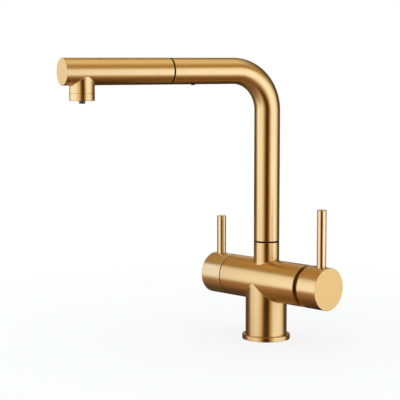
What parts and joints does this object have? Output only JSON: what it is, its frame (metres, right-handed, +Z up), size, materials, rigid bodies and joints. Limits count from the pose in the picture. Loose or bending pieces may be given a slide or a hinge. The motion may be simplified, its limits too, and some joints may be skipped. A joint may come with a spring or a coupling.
{
  "type": "mixer tap",
  "caption": "Kitchen mixer tap with an L-shaped swivelling spout, pull-out spray, a long mixer lever and a short quarter-turn lever for filtered water.",
  "frame": {"origin": "centre of the base ring's underside, on the worktop", "axes": "+Z up along the column, front at -Y, mixer lever towards +X, filter lever towards -X; the spout rests 15.5 degrees off -Y, towards -X"},
  "size_m": [0.1696, 0.2612, 0.308],
  "materials": {
    "gold": "brushed gold coating",
    "raw_brass": "machined",
    "steel": "machined",
    "dark_screw": "black oxide",
    "black_plastic": "satin",
    "grey_plastic": "moulded",
    "ceramic": "lapped",
    "rubber": "matt",
    "braid": "nylon braid"
  },
  "bodies": {
    "tap_body": {"base_ring": "gold", "base_gasket": "rubber", "valve_body": "gold", "cartridge_base": "grey_plastic", "cartridge_seals": "rubber", "fixed_disc": "ceramic", "cartridge_housing": "grey_plastic", "cartridge_nut": "raw_brass", "mixer_dome": "gold", "filter_seal": "rubber", "filter_housing": "raw_brass", "filter_fixed_disc": "ceramic", "neck_screw": "steel"},
    "spout": {"spout_tube": "gold", "spout_nipple": "raw_brass", "swivel_o_rings": "rubber", "swivel_ring": "black_plastic", "dock_bush": "black_plastic", "dock_screw": "dark_screw", "pull_hose": "braid"},
    "spray": {"spray_shell": "gold", "spray_core": "grey_plastic", "check_valve": "grey_plastic", "hose_nut": "raw_brass", "hose_washer": "rubber", "hose_ferrule": "raw_brass", "outlet_washer": "rubber", "outlet_nipple": "raw_brass", "aerator_ring": "gold", "aerator_insert": "grey_plastic", "filter_nozzle": "black_plastic"},
    "filter_handle": {"filter_cap": "gold", "filter_lever": "gold", "filter_screw": "steel", "filter_turning_disc": "ceramic", "filter_spindle": "raw_brass", "filter_o_ring": "rubber", "filter_circlip": "steel"},
    "mixer_carrier": {"stem_carrier": "grey_plastic", "stem_pin": "steel"},
    "mixer_handle": {"mixer_cap": "gold", "mixer_lever": "gold", "mixer_screw": "steel", "cartridge_stem": "steel"},
    "mixer_disc": {"moving_disc": "ceramic", "disc_slider": "grey_plastic"}
  },
  "joints": [
    {"name": "spout_swivel", "type": "hinge", "parent": "tap_body", "child": "spout", "pos_m": [0, 0, 0.1073], "axis": [0, 0, 1], "continuous": true},
    {"name": "spray_pull", "type": "slide", "parent": "spout", "child": "spray", "axis": [-0.2672, -0.9636, 0], "range_m": [0, 0.45], "deforming": ["pull_hose"]},
    {"name": "filter_turn", "type": "hinge", "parent": "tap_body", "child": "filter_handle", "pos_m": [-0.0507, 0, 0.065], "axis": [1, 0, 0], "range_deg": [0, 90]},
    {"name": "mixer_turn", "type": "hinge", "parent": "tap_body", "child": "mixer_carrier", "pos_m": [0.046, 0, 0.065], "axis": [1, 0, 0], "range_deg": [-50, 50]},
    {"name": "mixer_lift", "type": "hinge", "parent": "mixer_carrier", "child": "mixer_handle", "pos_m": [0.046, 0, 0.065], "axis": [0, 1, 0], "range_deg": [0, 20]},
    {"name": "disc_slide", "type": "slide", "parent": "mixer_carrier", "child": "mixer_disc", "axis": [0, 0, 1], "range_m": [0, 0.00364]}
  ],
  "couplings": [
    {"joint": "disc_slide", "follows": "mixer_lift", "m_per_rad": 0.0104}
  ]
}
